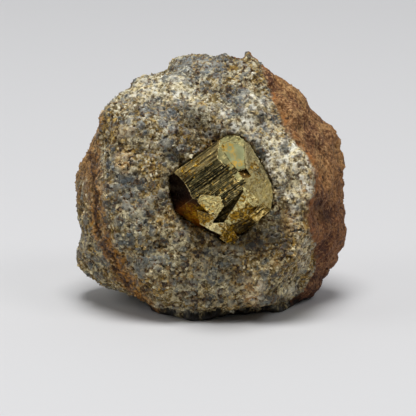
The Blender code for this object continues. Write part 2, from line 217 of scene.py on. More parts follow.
rock = {
    "voxel": 0.27,  # mm, the fineness of the skin
    "splitDepth": 0.0,  # where its front and back pieces meet
    "quartzSize": 2.2,  # mm, of the large grey grains
    "quartzShare": 0.46,
    "smallQuartzSize": 1.25,
    "smallQuartzShare": 0.40,
    "gritSize": 0.62,
    "pitSize": 0.60,
    "relief": {  # mm; the undercut is how far the lowest edge draws in
        "Lump Height": 0.42, "Quartz Height": 0.20, "Grit Height": 0.20, "Pit Depth": 0.55,
        "Rind Height": 0.85, "Seam Depth": 0.55, "Undercut": 0.7,
    },
    "wobble": 2.2,  # mm, how far slow noise bends the borders of the rind and the seam
    "ripple": 2.6,  # mm, and how far fine noise does
    "rindStart": -2.0,  # mm into the rock, from where the rind spreads to the left
    "rindSpread": 1.9,  # mm for each mm of depth
    "rindWander": 22.0,  # mm, how far its border strays at the back
    "flankStart": -1.0,  # mm into the rock, from where the seam and the skin outside it spread to the right
    "flankSpread": 1.6,  # mm for each mm of depth
    "footLevel": (0.1, 1.2),  # mm up, between which the flat foot turns into rough rock
    "undercutLevel": (4.0, 1.2),  # mm up, between which the lowest edge draws in
    "contactShadowLevel": (1.8, 0.3),  # mm up, between which the painted contact shadow at its foot sets in
    # low swells and dents of the face: right, up, half width, half height, height in mm
    "swells": [
        (7.6, 26.9, 0.8, 0.8, 0.9), (-22.5, 10.0, 4.0, 5.5, -0.5), (22.0, -19.0, 4.0, 5.0, 0.6),
        (-3.0, -26.6, 11.0, 2.0, -0.8), (-9.0, 21.5, 6.0, 1.6, 0.4), (-16.6, 4.6, 1.5, 2.2, 0.5),
    ],
    # and those farther back, along the outline
    "edgeSwells": [
        (25.4, -13.0, 4.0, 5.0, 0.9), (21.0, -22.0, 3.6, 3.0, 1.3), (26.0, 11.4, 2.4, 2.4, 1.1),
        (27.6, 2.6, 1.6, 1.4, -0.5), (19.0, 19.0, 3.0, 3.0, 0.5), (-27.6, -11.5, 3.0, 4.2, -0.9),
        (-23.0, 14.2, 3.0, 3.6, -0.8), (-11.0, 23.2, 5.0, 2.0, -0.6), (5.6, 27.0, 2.4, 1.6, -0.9),
    ],
    # where the brown rind starts on the right, (right, up) in mm
    "rindLine": [
        (9.4, 28.0), (10.6, 22.4), (13.7, 14.5), (16.3, 9.4), (19.9, 4.5), (20.6, -0.8), (18.9, -5.5),
        (21.0, -13.0), (20.5, -18.5), (18.5, -25.0),
    ],
    # the rusty seam down the left
    "seamLine": [
        (-23.2, 16.0), (-24.2, 8.0), (-23.4, 4.0), (-23.0, 0.5), (-22.5, -4.0), (-21.8, -9.7),
        (-18.7, -15.1), (-15.4, -20.5), (-11.0, -27.0),
    ],
    # patches on the face: right, up, half width, half height, strength
    # pale cream patches: partly the rock's own pale colour, partly painted light where the face lies in shade
    "pale": [
        (-11.5, 19.5, 8.0, 3.8, 0.9), (-5.5, 17.4, 3.5, 1.6, 1.0), (1.5, 15.0, 3.0, 1.5, 0.8),
        (5.5, 12.0, 2.5, 1.6, 0.9), (17.2, 2.0, 3.6, 6.0, 1.5), (12.4, 3.2, 1.8, 3.4, 1.3),
        (14.4, 8.5, 3.4, 4.0, 0.7), (9.5, 15.0, 3.4, 5.0, 0.7), (17.0, -6.5, 1.4, 3.0, 0.8),
        (18.6, -13.0, 1.6, 4.0, 0.8), (17.0, -21.5, 2.4, 2.4, 0.7), (9.0, -21.0, 2.4, 3.0, 0.7),
        (-26.0, -12.0, 1.6, 3.0, 0.5),
    ],
    "peach": [
        (-16.9, 5.0, 1.9, 2.9, 1.3), (8.2, -21.2, 1.8, 3.4, 1.3), (15.6, -7.0, 1.6, 3.0, 1.1),
        (18.8, 0.6, 1.6, 3.4, 1.0), (13.0, -15.5, 1.2, 1.2, 0.8), (-17.6, 10.6, 3.4, 1.6, 0.6),
    ],
    "blueGrey": [
        (-1.5, 25.0, 7.0, 3.2, 2.0), (-9.0, 15.2, 6.0, 1.8, 0.9), (-17.0, -0.5, 3.2, 4.5, 1.0),
        (-13.5, -6.0, 3.0, 3.0, 0.7), (-12.5, -14.5, 4.5, 4.0, 0.7), (1.5, -16.5, 4.5, 3.0, 0.8),
        (7.5, 16.5, 3.0, 3.0, 0.6), (11.5, -23.0, 3.0, 1.8, 0.8), (9.0, 8.5, 2.0, 2.0, 0.6),
        (-6.0, -20.0, 3.5, 2.5, 0.5), (15.0, 6.0, 1.6, 1.8, 0.7),
    ],
    "rust": [
        (-20.4, 12.0, 3.6, 3.0, 1.0), (5.1, 24.4, 2.2, 1.5, 0.9), (-13.5, -19.5, 5.0, 2.6, 0.9),
        (-3.0, 9.6, 5.0, 3.0, 0.6), (15.5, -12.5, 4.5, 6.5, 0.6), (9.0, -12.5, 5.0, 2.5, 0.6),
        (9.5, -19.5, 2.0, 2.4, 0.9), (-15.5, 16.0, 2.5, 2.0, 0.6), (-12.0, 3.0, 2.0, 4.0, 0.4),
    ],
    # painted shade: the crystal's shadow below it and the shaded hollows around it
    "paintedShade": [
        (-3.0, 11.5, 4.6, 4.4, 0.5), (8.5, -10.8, 5.0, 2.6, 0.7), (13.5, -9.5, 2.5, 4.5, 0.6),
        (-8.5, 2.0, 2.0, 5.0, 0.3), (-7.5, 6.0, 2.0, 2.0, 0.5), (2.0, 19.5, 2.5, 1.5, 0.3),
    ],
    # painted shade in the rind's hollows, dark red-brown
    "hollow": [(21.6, -3.8, 1.4, 1.4, 0.6), (23.4, -6.2, 2.0, 1.6, 0.65), (25.4, 7.4, 1.0, 2.0, 0.7)],
}


def rockPatterns(tree, objectPlace):
    # everything that both the relief and the colours of the rock follow
    place = toLeaning(tree, objectPlace)
    _, depth, up = splitPlace(tree, place)
    wobble = speckle(tree, place, 3.0, 3.0, output="Color")
    bent = vectorCalc(tree, "MULTIPLY_ADD", wobble, (rock["wobble"],) * 3, (-rock["wobble"] / 2,) * 3)
    ripple = vectorCalc(tree, "SUBTRACT", speckle(tree, place, 0.8, 3.0, 0.6, "Color"), (0.5, 0.5, 0.5))
    ripple = vectorCalc(tree, "MULTIPLY", ripple, (rock["ripple"],) * 3)
    bent = vectorCalc(tree, "ADD", vectorCalc(tree, "ADD", place, bent), ripple)
    bentRight, _, bentUp = splitPlace(tree, bent)

    rindEdge = lineAcross(tree, bentUp, rock["rindLine"])
    behind = calc(tree, "MAXIMUM", minus(tree, depth, rock["rindStart"]), 0.0)
    wander = minus(tree, speckle(tree, place, 7.0, 3.0, 0.6), 0.5)
    wander = times(tree, times(tree, wander, rock["rindWander"]), ramp(tree, behind, 0.5, 8.0))
    rindEdge = minus(tree, rindEdge, timesPlus(tree, behind, rock["rindSpread"], wander))
    rindDepth = minus(tree, bentRight, rindEdge)
    rind = ramp(tree, rindDepth, -0.6, 0.7)

    seamEdge = lineAcross(tree, bentUp, rock["seamLine"])
    flank = calc(tree, "MAXIMUM", minus(tree, depth, rock["flankStart"]), 0.0)
    aside = minus(tree, bentRight, timesPlus(tree, flank, rock["flankSpread"], seamEdge))
    ragged = ramp(tree, speckle(tree, place, 1.6, 3.0, 0.6), 0.40, 0.60, 0.6, 1.0)
    ragged = times(tree, ragged, ramp(tree, depth, 9.0, 4.0))
    seam = times(tree, ramp(tree, calc(tree, "ABSOLUTE", aside), 2.7, 0.5), ragged)
    crack = times(tree, ramp(tree, calc(tree, "ABSOLUTE", plus(tree, aside, 0.4)), 0.8, 0.1), ragged)
    outside = ramp(tree, aside, 0.3, -1.2)

    # grey quartz grains of two sizes, more of them in the blue-grey patches
    grainPlace = vectorCalc(tree, "ADD", place, vectorCalc(tree, "MULTIPLY", ripple, (0.75, 0.75, 0.75)))
    richer = times(tree, patches(tree, place, rock["blueGrey"]), 0.4)
    richer = minus(tree, richer, times(tree, patches(tree, place, rock["pale"]), 0.12))

    def quartzGrains(size, portion):
        found = cells(tree, grainPlace, size)
        chance, tone, _ = splitPlace(tree, found.outputs["Color"])
        kept = ramp(tree, plus(tree, chance, richer), 0.95 - portion, 1.05 - portion)
        blob = times(tree, ramp(tree, found.outputs["Distance"], 0.62, 0.36), kept)
        return blob, times(tree, blob, ramp(tree, found.outputs["Distance"], 0.54, 0.22)), tone

    large, largeCore, quartzTone = quartzGrains(rock["quartzSize"], rock["quartzShare"])
    small, smallCore, _ = quartzGrains(rock["smallQuartzSize"], rock["smallQuartzShare"])
    return {
        "place": place, "up": up, "rind": rind, "rindDepth": rindDepth,
        "seam": seam, "outside": outside, "crack": crack,
        "quartz": ramp(tree, calc(tree, "MAXIMUM", large, small), 0.15, 0.7),
        "core": calc(tree, "MAXIMUM", largeCore, smallCore), "quartzTone": quartzTone,
        "grit": cells(tree, grainPlace, rock["gritSize"]).outputs["Distance"],
        "pit": ramp(tree, speckle(tree, place, rock["pitSize"], 3.0, 0.6), 0.60, 0.70),
    }


socketKinds = (
    (float, "NodeSocketFloat"), (int, "NodeSocketInt"),
    (bpy.types.Object, "NodeSocketObject"), (bpy.types.Material, "NodeSocketMaterial"),
)


def geometryTree(name, values):
    # a Geometry Nodes tree with a geometry in, a geometry out and an input for each named value
    tree = bpy.data.node_groups.new(name, "GeometryNodeTree")
    tree.interface.new_socket("Geometry", in_out="INPUT", socket_type="NodeSocketGeometry")
    for label, value in values.items():
        kind = next(kind for sort, kind in socketKinds if isinstance(value, sort))
        socket = tree.interface.new_socket(label, in_out="INPUT", socket_type=kind)
        if isinstance(value, (float, int)):
            socket.default_value = value
    tree.interface.new_socket("Geometry", in_out="OUTPUT", socket_type="NodeSocketGeometry")
    return tree, tree.nodes.new("NodeGroupInput").outputs, tree.nodes.new("NodeGroupOutput")


def store(tree, geometry, name, value, kind="FLOAT"):
    # keeps a value on the points, for the materials and the grains to read
    return addNode(
        tree, "GeometryNodeStoreNamedAttribute", {"Geometry": geometry, "Name": name, "Value": value},
        data_type=kind, domain="POINT",
    ).outputs[0]


def finishTree(tree, out, geometry, smooth, material):
    real = addNode(tree, "GeometryNodeRealizeInstances", {"Geometry": geometry}).outputs[0]
    shading = {"Geometry": real, "Shade Smooth": smooth}
    shaded = addNode(tree, "GeometryNodeSetShadeSmooth", shading).outputs[0]
    coloured = addNode(tree, "GeometryNodeSetMaterial", {"Geometry": shaded, "Material": material}).outputs[0]
    plug(tree, out.inputs[0], coloured)


def runTree(obj, tree, values):
    # sets the named inputs by their identifiers, and returns the result as a plain mesh
    modifier = obj.modifiers.new(tree.name, "NODES")
    modifier.node_group = tree
    for item in tree.interface.items_tree:
        if item.in_out == "INPUT" and item.name in values:
            modifier[item.identifier] = values[item.name]
    graph = bpy.context.evaluated_depsgraph_get()
    mesh = bpy.data.meshes.new_from_object(
        obj.evaluated_get(graph), preserve_all_data_layers=True, depsgraph=graph
    )
    obj.modifiers.remove(modifier)
    return mesh


def showPiece(name, mesh):
    mesh.name = name
    piece = bpy.data.objects.new(name, mesh)
    bpy.context.scene.collection.objects.link(piece)
    return piece


def levelRamp(tree, level, name, toHigh=1.0):
    # a smooth step between two heights of the rock's settings
    low, high = rock[name]
    return ramp(tree, level, low * mm, high * mm, 0.0, toHigh)


def rockSkinTree(values):
    tree, given, out = geometryTree("rockRelief", values)
    position = addNode(tree, "GeometryNodeInputPosition").outputs[0]
    skin = store(tree, given["Geometry"], "restPlace", position, "FLOAT_VECTOR")
    seen = rockPatterns(tree, position)
    place = seen["place"]
    # the fresh rock is lumpy, with quartz and grit that stand out, and pits
    lumps = minus(tree, speckle(tree, place, 2.6, 4.0, 0.55), 0.5)
    lumps = times(tree, lumps, times(tree, given["Lump Height"], 4.0))
    quartz = times(tree, seen["quartz"], given["Quartz Height"])
    grit = times(tree, ramp(tree, seen["grit"], 0.75, 0.1), given["Grit Height"])
    pits = times(tree, seen["pit"], given["Pit Depth"])
    fresh = plus(tree, plus(tree, lumps, quartz), minus(tree, grit, pits))
    # the rind swells more, and its grit is worn low
    worn = minus(tree, speckle(tree, place, 1.5, 4.0, 0.6), 0.5)
    swell = minus(tree, speckle(tree, place, 6.0), 0.5)
    worn = timesPlus(tree, swell, 0.8, worn)
    worn = times(tree, worn, times(tree, given["Rind Height"], 2.0))
    worn = plus(tree, worn, times(tree, grit, 0.3))
    height = addNode(tree, "ShaderNodeMix", data_type="FLOAT")
    plug(tree, height.inputs[0], calc(tree, "MAXIMUM", seen["rind"], times(tree, seen["seam"], 0.6)))
    plug(tree, height.inputs[2], fresh)
    plug(tree, height.inputs[3], worn)
    relief = minus(tree, height.outputs[0], times(tree, seen["crack"], given["Seam Depth"]))
    skin = store(tree, skin, "relief", relief)
    moved = plus(tree, relief, patches(tree, place, rock["swells"], -5.0))
    moved = plus(tree, moved, patches(tree, place, rock["edgeSwells"], 3.0))
    # the lowest edge draws in, and the foot stays flat
    level = splitPlace(tree, position)[2]
    moved = minus(tree, moved, times(tree, levelRamp(tree, level, "undercutLevel"), given["Undercut"]))
    moved = times(tree, times(tree, moved, mm), levelRamp(tree, level, "footLevel"))
    normal = addNode(tree, "GeometryNodeInputNormal").outputs[0]
    offset = scaled(tree, normal, moved)
    raised = addNode(tree, "GeometryNodeSetPosition", {"Geometry": skin, "Offset": offset})
    finishTree(tree, out, raised.outputs[0], True, given["Material"])
    return tree


def rockBlank():
    # the rock's solid as one welded skin of even, fine faces, its flat facets rounded a little
    bm = bmesh.new()
    bm.from_mesh(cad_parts["matrix_rock"].data)
    bmesh.ops.remove_doubles(bm, verts=bm.verts, dist=weldDistance)
    mesh = bpy.data.meshes.new("rockBlank")
    bm.to_mesh(mesh)
    bm.free()
    blank = showPiece("rockBlank", mesh)
    fine = blank.modifiers.new("fine", "REMESH")
    fine.mode = "VOXEL"
    fine.voxel_size = rock["voxel"] * mm
    rounder = blank.modifiers.new("rounder", "SMOOTH")
    rounder.factor = 0.5
    rounder.iterations = 4
    graph = bpy.context.evaluated_depsgraph_get()
    skin = bpy.data.meshes.new_from_object(blank.evaluated_get(graph), depsgraph=graph)
    bpy.data.objects.remove(blank)
    return showPiece("rockBlank", skin)


def halve(mesh, name, front):
    # the front or back half of the skin, split between its faces
    bm = bmesh.new()
    bm.from_mesh(mesh)
    rest = bm.verts.layers.float_vector["restPlace"]
    drop = []
    for face in bm.faces:
        depth = sum(vert[rest].y for vert in face.verts) / len(face.verts)
        if (depth < rock["splitDepth"] * mm) != front:
            drop.append(face)
    bmesh.ops.delete(bm, geom=drop, context="FACES")
    half = bpy.data.meshes.new(name)
    bm.to_mesh(half)
    bm.free()
    for material in mesh.materials:
        half.materials.append(material)
    return showPiece(name, half)


def freshColour(tree, seen, grains):
    flat, fine, medium = seen["place"], seen["fine"], seen["medium"]
    # cream ground, olive where it is dirty, with pale threads
    coarse = speckle(tree, flat, 3.2, 4.0, 0.6)
    colour = blendColour(tree, ramp(tree, medium, 0.42, 0.56), srgb(158, 140, 88), srgb(255, 248, 214))
    colour = mottled(tree, colour, fine, (
        (0.48, 0.38, 0.75, (112, 94, 52)),
        (0.54, 0.62, 0.8, (255, 252, 234)),
    ))
    thread = ramp(tree, apart(tree, medium, 0.47), 0.028, 0.0)
    colour = tint(tree, colour, share(tree, thread, 0.6), (255, 248, 222))
    weave = speckle(tree, flat, 1.2, 2.0, 0.5)
    gap = ramp(tree, apart(tree, weave, 0.5), 0.060, 0.015)
    gap = times(tree, gap, ramp(tree, fine, 0.54, 0.46, 0.2, 1.0))
    if grains:
        colour = mottled(tree, colour, seen["kind"], (
            (0.40, 0.26, 0.7, (172, 154, 94)),
            (0.84, 0.94, 0.5, (255, 248, 224)),
            (0.15, 0.12, 0.8, (84, 68, 40)),
        ))
    # blue-grey quartz, darkest in the middle of each grain
    tone = blendColour(tree, seen["quartzTone"], srgb(112, 123, 128), srgb(176, 182, 176))
    tone = tint(tree, tone, ramp(tree, fine, 0.44, 0.56, 0.0, 0.7), (78, 88, 94))
    tone = tint(tree, tone, share(tree, seen["core"], ramp(tree, fine, 0.38, 0.50, 0.6, 1.0)), (40, 48, 54))
    tone = tint(tree, tone, ramp(tree, fine, 0.60, 0.66, 0.0, 0.7), (214, 216, 204))
    broken = ramp(tree, speckle(tree, flat, 0.7, 2.0, 0.5), 0.64, 0.54, 0.5, 1.0)
    colour = blendColour(tree, share(tree, seen["quartz"], broken), colour, tone)
    blue = share(tree, patches(tree, flat, rock["blueGrey"]), ramp(tree, coarse, 0.62, 0.40, 0.5, 1.0))
    colour = tint(tree, colour, share(tree, blue, ramp(tree, fine, 0.60, 0.45, 0.25, 0.75)), (150, 163, 172))
    # pale cream patches: the rock's own pale colour and painted light
    lightness = minus(tree, 1.0, times(tree, seen["core"], 0.8))
    pale = share(tree, patches(tree, flat, rock["pale"]), lightness)
    pale = share(tree, pale, ramp(tree, fine, 0.38, 0.56, 0.1, 1.0))
    pale = share(tree, pale, ramp(tree, weave, 0.42, 0.52, 0.35, 1.0))
    cream = blendColour(tree, ramp(tree, medium, 0.40, 0.60), srgb(255, 241, 196), srgb(255, 254, 240))
    colour = blendColour(tree, pale, colour, cream)
    peach = share(tree, patches(tree, flat, rock["peach"]), ramp(tree, medium, 0.34, 0.50, 0.4, 0.95))
    peachTone = blendColour(tree, ramp(tree, fine, 0.4, 0.6), srgb(216, 168, 96), srgb(255, 236, 190))
    colour = blendColour(tree, peach, colour, peachTone)
    # iron stain along the borders of the grains, more of it next to the rind
    rust = plus(tree, patches(tree, flat, rock["rust"]), ramp(tree, coarse, 0.40, 0.62, 0.0, 0.9))
    rust = plus(tree, rust, ramp(tree, seen["rindDepth"], -3.0, 0.0, 0.0, 1.0))
    edging = ramp(tree, seen["grit"], 0.34, 0.60)
    edging = calc(tree, "MAXIMUM", edging, ramp(tree, speckle(tree, flat, 0.9, 3.0, 0.6), 0.52, 0.62))
    edging = times(tree, edging, minus(tree, 1.0, times(tree, seen["core"], 0.9)))
    gold = blendColour(tree, ramp(tree, fine, 0.40, 0.60), srgb(98, 70, 10), srgb(210, 170, 72))
    colour = blendColour(tree, share(tree, share(tree, rust, edging), 0.9), colour, gold)
    colour = tint(tree, colour, share(tree, gap, 0.5 if grains else 0.7), (70, 52, 24))
    # painted shade, with some dirt, where the surface dips, and painted light where it stands high
    dip = ramp(tree, seen["relief"], 0.10, -0.45, 0.0, 0.9)
    colour = tint(tree, colour, dip, (96, 80, 44), "MULTIPLY")
    high = ramp(tree, seen["relief"], 0.15, 0.65, 0.0, 0.45)
    colour = tint(tree, colour, high, (255, 250, 230))
    # painted shade: the lower part is darker and warmer, as under light from above
    lowerShade = ramp(tree, seen["up"], 14.0, -14.0, 0.0, 0.55)
    colour = tint(tree, colour, lowerShade, (236, 222, 184), "MULTIPLY")
    # the skin between the grains is darker: partly its own darker ground, partly painted shade between the
    # grains
    if not grains:
        colour = tint(tree, colour, 0.4, (130, 116, 72), "MULTIPLY")
    # painted shade in small holes and in the pits, the holes ringed with brown stain
    hole = speckle(tree, flat, 0.75, 2.0, 0.5)
    ring = ramp(tree, hole, 0.58, 0.62, 0.0, 0.5 if grains else 0.8)
    colour = tint(tree, colour, ring, (122, 84, 30))
    deep = ramp(tree, hole, 0.62, 0.66, 0.0, 0.7 if grains else 0.95)
    for dark in (deep, share(tree, seen["pit"], 0.5 if grains else 0.95)):
        colour = tint(tree, colour, dark, (34, 24, 12))
    # the pale patches once more, over the holes: the rock's own pale colour and painted light
    colour = blendColour(tree, share(tree, pale, 0.7), colour, cream)
    # painted shade: the crystal's shadow and the shaded hollows around it
    paintedShade = patches(tree, flat, rock["paintedShade"])
    return tint(tree, colour, paintedShade, (104, 94, 60), "MULTIPLY")


def rindColour(tree, seen, grains):
    # ochre, chocolate and reddish clouds, mottled and grainy
    flat, mottle, other, relief = seen["place"], seen["mottle"], seen["other"], seen["relief"]
    cloud = speckle(tree, flat, 5.5, 4.0, 0.6)
    brown = blendColour(tree, ramp(tree, cloud, 0.38, 0.60), srgb(106, 62, 30), srgb(156, 110, 60))
    brown = mottled(tree, brown, other, (
        (0.50, 0.62, 0.45, (190, 150, 94)),
        (0.46, 0.36, 0.5, (88, 48, 22)),
    ))
    brown = mottled(tree, brown, mottle, (
        (0.52, 0.62, 0.75, (206, 164, 112)),
        (0.48, 0.38, 0.85, (56, 30, 12)),
    ))
    glow = ramp(tree, apart(tree, seen["rindDepth"], 0.4), 1.3, 0.2, 0.0, 0.7)
    glow = share(tree, glow, ramp(tree, other, 0.46, 0.58))
    brown = tint(tree, brown, glow, (168, 100, 32))
    blot = ramp(tree, speckle(tree, flat, 0.8, 3.0, 0.65), 0.56, 0.66, 0.0, 0.75)
    brown = tint(tree, brown, blot, (62, 36, 18))
    # painted shade where the rind dips, and painted light where it stands high
    brown = tint(tree, brown, ramp(tree, relief, -0.1, -0.8, 0.0, 0.7), (112, 76, 44), "MULTIPLY")
    brown = tint(tree, brown, ramp(tree, relief, 0.3, 1.0, 0.0, 0.35), (206, 164, 112))
    if grains:
        brown = mottled(tree, brown, seen["kind"], (
            (0.40, 0.15, 0.6, (74, 44, 24)),
            (0.86, 0.98, 0.35, (196, 158, 114)),
        ))
    # painted shade: the rind darker and redder towards the bottom, as under light from above
    low = ramp(tree, seen["up"], 12.0, -12.0, 0.0, 0.6)
    brown = tint(tree, brown, low, (162, 108, 56), "MULTIPLY")
    # painted shade in the rind's hollows, with a red-brown tint
    return tint(tree, brown, patches(tree, flat, rock["hollow"]), (44, 17, 4))


def seamColour(tree, seen, colour):
    # the rusty seam, and the skin outside it, over the rest
    rusty = blendColour(tree, ramp(tree, seen["fine"], 0.38, 0.62), srgb(72, 44, 10), srgb(182, 124, 44))
    colour = blendColour(tree, share(tree, seen["seam"], 0.95), colour, rusty)
    skinUp = timesPlus(tree, minus(tree, seen["other"], 0.5), 26.0, seen["up"])
    upperSkin = share(tree, seen["outside"], ramp(tree, skinUp, -5.0, 2.0, 0.0, 0.85))
    skin = blendColour(tree, ramp(tree, seen["mottle"], 0.40, 0.60), srgb(78, 48, 20), srgb(184, 142, 86))
    colour = blendColour(tree, share(tree, upperSkin, minus(tree, 1.0, seen["rind"])), colour, skin)
    # the crack darkened: dark rust in it, and painted shade in the groove
    return tint(tree, colour, share(tree, seen["crack"], 0.9), (48, 24, 8))


def rockMaterial(name, grains):
    # the same stone for the skin and for its loose-edged grains, which also have a tone each
    material, tree, shader = newMaterial(name)
    place = attribute(tree, "restPlace", "Vector")
    seen = rockPatterns(tree, place)
    flat = seen["place"]
    own = toLeaning(tree, addNode(tree, "ShaderNodeTexCoord").outputs["Object"]) if grains else flat
    seen["fine"] = speckle(tree, own, 0.52, 2.0, 0.55)
    seen["medium"] = speckle(tree, flat, 0.95, 2.0, 0.5)
    seen["mottle"] = speckle(tree, own, 0.38, 4.0, 0.7)
    seen["other"] = speckle(tree, flat, 2.4, 4.0, 0.65)
    seen["relief"] = attribute(tree, "relief")
    seen["kind"] = attribute(tree, "grainTone")
    colour = freshColour(tree, seen, grains)
    colour = blendColour(tree, seen["rind"], colour, rindColour(tree, seen, grains))
    colour = seamColour(tree, seen, colour)
    # painted contact shadow: the lowest part darkened nearly to black, its edge broken by noise
    level = timesPlus(tree, minus(tree, seen["medium"], 0.5), 5.0 * mm, splitPlace(tree, place)[2])
    colour = tint(tree, colour, levelRamp(tree, level, "contactShadowLevel", 0.95), (16, 12, 8))
    plug(tree, shader.inputs["Base Color"], colour)
    wet = times(tree, seen["quartz"], minus(tree, 1.0, seen["rind"]))
    plug(tree, shader.inputs["Roughness"], ramp(tree, wet, 0.0, 1.0, 0.8, 0.5 if grains else 0.36))
    shader.inputs["Specular IOR Level"].default_value = 0.45
    if not grains:
        bumpy = speckle(tree, flat, 0.28, 4.0, 0.7)
        bump = addNode(tree, "ShaderNodeBump", {"Height": bumpy, "Strength": 0.8, "Distance": 0.18 * mm})
        plug(tree, shader.inputs["Normal"], bump.outputs[0])
    return material


def dressRock():
    blank = rockBlank()
    values = dict(rock["relief"], Material=rockMaterial("granularRock", False))
    mesh = runTree(blank, rockSkinTree(values), values)
    bpy.data.objects.remove(blank)
    pieces = [halve(mesh, "rockFront", True), halve(mesh, "rockBack", False)]
    for piece in pieces:
        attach(piece, "root")
        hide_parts("matrix_rock")
        print("rock piece", piece.name, len(piece.data.polygons), "faces")
    return pieces


grains = {
    "Smallest": 0.14,  # mm, of half a grain
    "Largest": 0.48,
    "Apart": 0.37,  # mm, from middle to middle
    "Most per mm2": 3.2,
    "Rim Size": 0.8,  # size of those close to the crystal, beside the others'
    "Rind Share": 0.6,  # how many lie on the rind, beside the fresh rock
    "Rind Size": 0.7,
    "Quartz Share": 0.55,
    "Sunk": 0.42,  # share of its size that a grain lies deeper than half way
    "Seed": 21,
}
grainShapes = 5
rimWidth = (2.6, 1.2)  # mm from the crystal, between which the grains turn into those of its rim
lookOut = 30.0  # mm, how far in front of a grain the crystal may cover it


def grainShape(tree, number):
    # one angular grain: a ball of 20 faces, or a block, pulled out of shape
    if number % 2:
        solid = addNode(tree, "GeometryNodeMeshCube", {"Size": (1.5, 1.5, 1.5)}).outputs[0]
    else:
        solid = addNode(tree, "GeometryNodeMeshIcoSphere", {"Radius": 1.0, "Subdivisions": 1}).outputs[0]
    position = addNode(tree, "GeometryNodeInputPosition").outputs[0]
    shifted = vectorCalc(tree, "ADD", position, (3.1 * number + 0.7, 1.3, 0.2))
    pull = addNode(tree, "ShaderNodeTexWhiteNoise", {"Vector": shifted}, noise_dimensions="3D")
    pull = vectorCalc(tree, "SUBTRACT", pull.outputs["Color"], (0.5, 0.5, 0.5))
    offset = scaled(tree, pull, 0.65)
    bent = addNode(tree, "GeometryNodeSetPosition", {"Geometry": solid, "Offset": offset}).outputs[0]
    return addNode(tree, "GeometryNodeGeometryToInstance", {"Geometry": bent}).outputs[0]


def grainTree(values):
    tree, given, out = geometryTree("rockGrains", values)
    rest = addNode(tree, "GeometryNodeInputNamedAttribute", {"Name": "restPlace"}, data_type="FLOAT_VECTOR")
    rest = rest.outputs[0]
    seen = rockPatterns(tree, rest)
    rindy = ramp(tree, seen["rind"], 0.0, 1.0, 1.0, 0.0)

    def onRind(label):
        # 1 on the fresh rock, and the given value on the rind
        return timesPlus(tree, rindy, minus(tree, 1.0, given[label]), given[label])

    def draw(kind, low, high, number):
        # a random value for each grain, and others for each number
        at = ("FLOAT_VECTOR", "FLOAT", "INT").index(kind)
        ends = {2 * at: low, 2 * at + 1: high, "Seed": plus(tree, given["Seed"], number)}
        return addNode(tree, "FunctionNodeRandomValue", ends, data_type=kind).outputs[at]

    # none on the flat foot, and none in the crystal's socket, where the crystal lies in front
    density = ramp(tree, splitPlace(tree, rest)[2], 0.2 * mm, 1.2 * mm)
    solid = addNode(tree, "GeometryNodeObjectInfo", {"Object": given["Crystal"]}).outputs["Geometry"]
    near = addNode(tree, "GeometryNodeProximity", {"Geometry": solid}, target_element="FACES")
    outwards = tuple(fromLeaning.to_3x3() @ Vector((0, -1 / mm, 0)))
    covered = addNode(
        tree, "GeometryNodeRaycast",
        {"Target Geometry": solid, "Ray Direction": outwards, "Ray Length": lookOut * mm}, data_type="FLOAT",
    ).outputs["Is Hit"]
    density = times(tree, density, minus(tree, 1.0, covered))
    density = times(tree, density, ramp(tree, seen["quartz"], 0.2, 0.8, 1.0, given["Quartz Share"]))
    density = times(tree, density, onRind("Rind Share"))
    spread = addNode(
        tree, "GeometryNodeDistributePointsOnFaces",
        {"Mesh": given["Geometry"], "Distance Min": times(tree, given["Apart"], mm),
         "Density Max": calc(tree, "DIVIDE", given["Most per mm2"], mm * mm), "Density Factor": density,
         "Seed": given["Seed"]},
        distribute_method="POISSON",
    )
    # each has a tone, darker close to the crystal, and a size: most are small
    nearRim = ramp(tree, near.outputs["Distance"], rimWidth[0] * mm, rimWidth[1] * mm)
    tone = times(tree, draw("FLOAT", 0.0, 1.0, 0.0), timesPlus(tree, nearRim, -0.35, 1.0))
    points = store(tree, spread.outputs["Points"], "grainTone", tone)
    size = calc(tree, "POWER", draw("FLOAT", 0.0, 1.0, 1.0), 2.6)
    size = timesPlus(tree, size, minus(tree, given["Largest"], given["Smallest"]), given["Smallest"])
    size = times(tree, times(tree, size, onRind("Rind Size")), mm)
    size = times(tree, size, timesPlus(tree, nearRim, minus(tree, given["Rim Size"], 1.0), 1.0))
    stretch = scaled(tree, draw("FLOAT_VECTOR", (0.7, 0.7, 0.7), (1.25, 1.25, 1.25), 2.0), size)
    turn = draw("FLOAT_VECTOR", (0.0, 0.0, 0.0), (math.tau, math.tau, math.tau), 3.0)
    down = times(tree, times(tree, size, given["Sunk"]), -1.0)
    inward = scaled(tree, spread.outputs["Normal"], down)
    sunk = addNode(tree, "GeometryNodeSetPosition", {"Geometry": points, "Offset": inward}).outputs[0]
    shapes = tree.nodes.new("GeometryNodeJoinGeometry")
    for number in range(grainShapes):
        tree.links.new(grainShape(tree, number), shapes.inputs[0])
    placed = addNode(tree, "GeometryNodeInstanceOnPoints", {
        "Points": sunk, "Instance": shapes.outputs[0], "Pick Instance": True,
        "Instance Index": draw("INT", 0, grainShapes - 1, 4.0), "Rotation": turn, "Scale": stretch,
    })
    finishTree(tree, out, placed.outputs[0], False, given["Material"])
    return tree


def dressGrains(skins):
    values = dict(grains, Crystal=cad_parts["pyrite_crystal"], Material=rockMaterial("rockGrain", True))
    tree = grainTree(values)
    for name, skin in zip(("grainsFront", "grainsBack"), skins):
        mesh = runTree(skin, tree, values)
        piece = showPiece(name, mesh)
        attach(piece, "root")
        mesh.calc_loop_triangles()
        print("grains", name, len(mesh.loop_triangles), "triangles")


